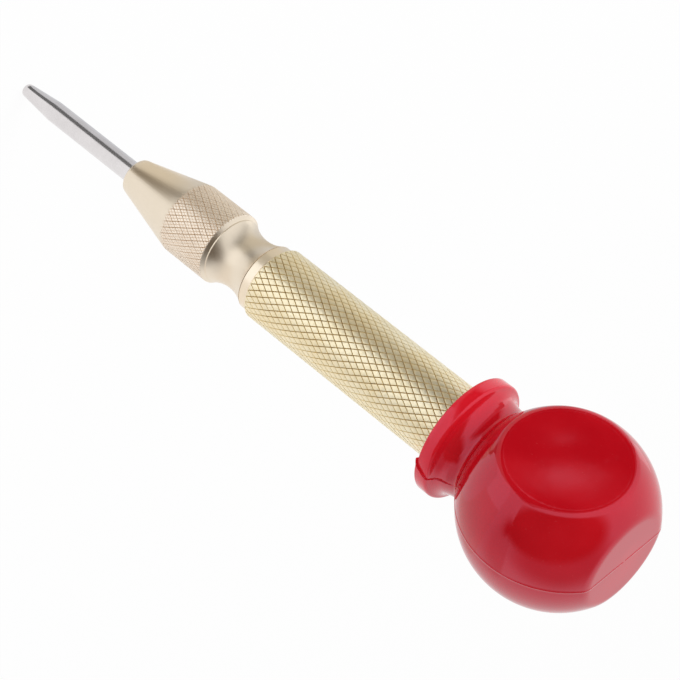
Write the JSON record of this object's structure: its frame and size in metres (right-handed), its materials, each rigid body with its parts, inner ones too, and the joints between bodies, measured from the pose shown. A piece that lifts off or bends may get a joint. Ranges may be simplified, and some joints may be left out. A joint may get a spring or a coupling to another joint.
{
  "type": "automatic center punch",
  "caption": "Spring-loaded center punch: a steel pin in a brass nose and knurled brass barrel, with an inner trip mechanism and hammer, and a red ball grip that turns to set the blow.",
  "frame": {"origin": "the point of the pin, on the tool's axis", "axes": "+Z along the tool's axis from the point to the ball; +X through the mould's parting line and the step it leaves on the lip; Y through the ball's two side flats"},
  "size_m": [0.0328, 0.0246, 0.1465],
  "materials": {
    "pin_steel": "ground bright",
    "pale_brass": "turned satin",
    "barrel_brass": "knurled bright",
    "inner_steel": "turned",
    "spring_steel": "drawn wire",
    "red_plastic": "moulded gloss"
  },
  "bodies": {
    "barrel": {"barrel": "barrel_brass", "nose_cap": "pale_brass", "return_spring": "spring_steel", "main_spring": "spring_steel"},
    "punch": {"punch_tip": "pin_steel", "plunger": "inner_steel"},
    "stem": {"trip_stem": "inner_steel"},
    "striker": {"hammer": "inner_steel"},
    "seat": {"spring_seat": "inner_steel"},
    "adjuster": {"end_cap": "barrel_brass", "ball_grip": "red_plastic"}
  },
  "joints": [
    {"name": "punch_slide", "type": "slide", "parent": "barrel", "child": "punch", "axis": [0, 0, 1], "range_m": [0, 0.008], "stiffness_N_per_m": 400, "springref_m": -0.006, "deforming": ["return_spring"]},
    {"name": "stem_tilt", "type": "hinge", "parent": "punch", "child": "stem", "pos_m": [0, 0, 0.04475], "axis": [0, -1, 0], "range_deg": [0, 3.09]},
    {"name": "hammer_slide", "type": "slide", "parent": "barrel", "child": "striker", "axis": [0, 0, 1], "range_m": [0, 0.008], "stiffness_N_per_m": 3000, "springref_m": -0.004, "deforming": ["main_spring"]},
    {"name": "seat_slide", "type": "slide", "parent": "barrel", "child": "seat", "axis": [0, 0, 1], "range_m": [-0.003, 0.002], "deforming": ["main_spring"]},
    {"name": "cap_turn", "type": "hinge", "parent": "seat", "child": "adjuster", "pos_m": [0, 0, 0.1301], "axis": [0, 0, 1], "range_deg": [-1080, 720]}
  ],
  "couplings": [
    {"joint": "stem_tilt", "follows": "punch_slide", "rad_per_m": 6.73},
    {"joint": "hammer_slide", "follows": "punch_slide", "ratio": 1},
    {"joint": "cap_turn", "follows": "seat_slide", "rad_per_m": 6283.2}
  ]
}
